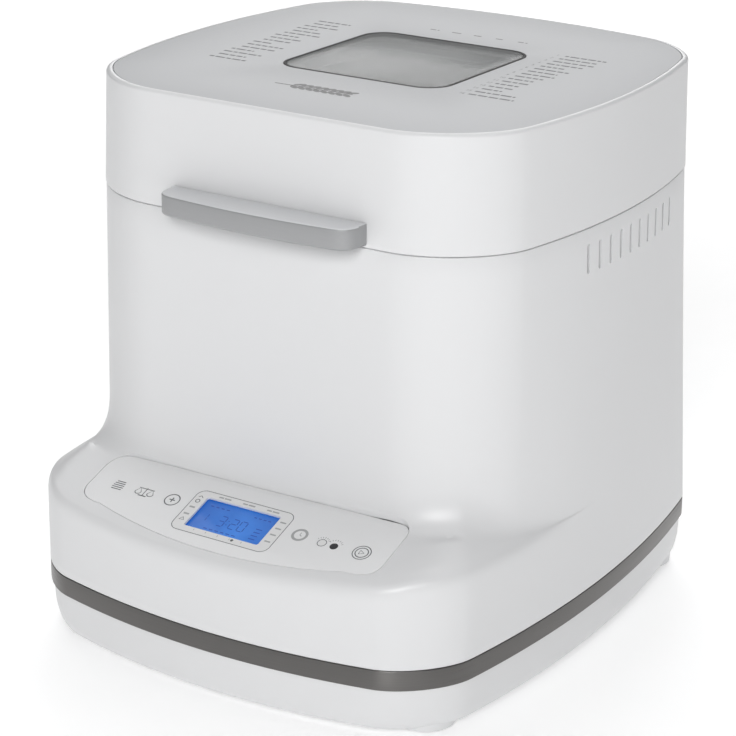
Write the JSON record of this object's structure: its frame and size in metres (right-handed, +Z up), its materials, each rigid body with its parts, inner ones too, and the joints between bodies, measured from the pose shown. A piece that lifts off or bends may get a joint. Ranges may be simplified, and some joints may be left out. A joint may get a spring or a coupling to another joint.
{
  "type": "bread machine",
  "caption": "Upright white bread machine with a flared base, sloping touch panel, blue display, rear-hinged window lid, front handle ledge, belt drive and lift-out pan with kneading paddle.",
  "frame": {"origin": "centre of the footprint at the height of the soles of the rubber feet", "axes": "+Z up, -Y towards the user (display and handle side), +X to the user's right"},
  "size_m": [0.2902, 0.3304, 0.3082],
  "materials": {
    "white_plastic": "glossy moulded white",
    "grey_plastic": "satin light grey",
    "trim_steel": "brushed along its length",
    "handle_aluminium": "brushed along its length",
    "display": "backlit blue display behind a clear window",
    "circuit_board": "solder-masked board",
    "black_plastic": "moulded black",
    "rubber": "matt",
    "silicone": "soft translucent grey",
    "steel": "bright drawn",
    "coated_sheet": "aluminised sheet, dull",
    "die_cast": "as cast",
    "heater_steel": "heat-darkened sheath",
    "pan_coating": "dark non-stick coating",
    "aluminium": "pressed",
    "glass": "clear"
  },
  "bodies": {
    "body": {"base_tray": "white_plastic", "trim_band": "trim_steel", "foot_front_left": "rubber", "foot_front_right": "rubber", "foot_rear_left": "rubber", "foot_rear_right": "rubber", "base_screw_front_left": "steel", "base_screw_front_right": "steel", "base_screw_rear_left": "steel", "base_screw_rear_right": "steel", "housing": "white_plastic", "control_panel": "white_plastic", "lcd_module": "display", "control_board": "circuit_board", "cord_gland": "black_plastic", "chamber": "coated_sheet", "heating_element": "heater_steel", "temperature_sensor": "steel", "thermal_fuse": "silicone", "pan_seat": "coated_sheet", "pan_clip_left": "steel", "pan_clip_right": "steel", "chassis_plate": "coated_sheet", "shaft_bearing": "die_cast", "motor_housing": "coated_sheet", "drive_belt": "rubber", "capacitor": "black_plastic", "power_board": "circuit_board"},
    "drive": {"drive_shaft": "steel", "large_pulley": "black_plastic", "drive_coupling": "die_cast"},
    "motor_rotor": {"motor_shaft": "steel", "motor_pulley": "die_cast", "motor_fan": "black_plastic"},
    "pan": {"bread_pan": "pan_coating", "pan_skirt": "aluminium", "pan_bush": "aluminium"},
    "paddle": {"kneading_shaft": "steel", "coupling_wing": "die_cast", "kneading_paddle": "pan_coating"},
    "bail": {"pan_bail": "steel"},
    "lid": {"lid_shell": "white_plastic", "lid_cover": "grey_plastic", "window_glass": "glass", "inner_glass": "glass", "lid_liner": "aluminium", "lid_gasket": "silicone", "lid_handle": "handle_aluminium", "hinge_pin_left": "steel", "hinge_pin_right": "steel", "lid_screw_front_left": "steel", "lid_screw_front_right": "steel", "lid_screw_rear_left": "steel", "lid_screw_rear_right": "steel"}
  },
  "joints": [
    {"name": "lid_hinge", "type": "hinge", "parent": "body", "child": "lid", "pos_m": [0, 0.15, 0.236], "axis": [-1, 0, 0], "range_deg": [0, 85]},
    {"name": "pan_lift", "type": "slide", "parent": "body", "child": "pan", "axis": [0, 0, 1], "range_m": [0, 0.024]},
    {"name": "bail_swing", "type": "hinge", "parent": "pan", "child": "bail", "pos_m": [0, 0.03085, 0.196], "axis": [-1, 0, 0], "range_deg": [0, 180]},
    {"name": "drive_spin", "type": "hinge", "parent": "body", "child": "drive", "pos_m": [0, 0.03085, 0.06], "axis": [0, 0, 1], "continuous": true},
    {"name": "motor_spin", "type": "hinge", "parent": "body", "child": "motor_rotor", "pos_m": [-0.109, 0.02, 0.06], "axis": [0, 0, 1], "continuous": true},
    {"name": "paddle_spin", "type": "hinge", "parent": "pan", "child": "paddle", "pos_m": [0, 0.03085, 0.09], "axis": [0, 0, 1], "continuous": true}
  ],
  "couplings": [
    {"joint": "motor_spin", "follows": "drive_spin", "ratio": 5.25},
    {"joint": "paddle_spin", "follows": "drive_spin", "ratio": 1}
  ]
}
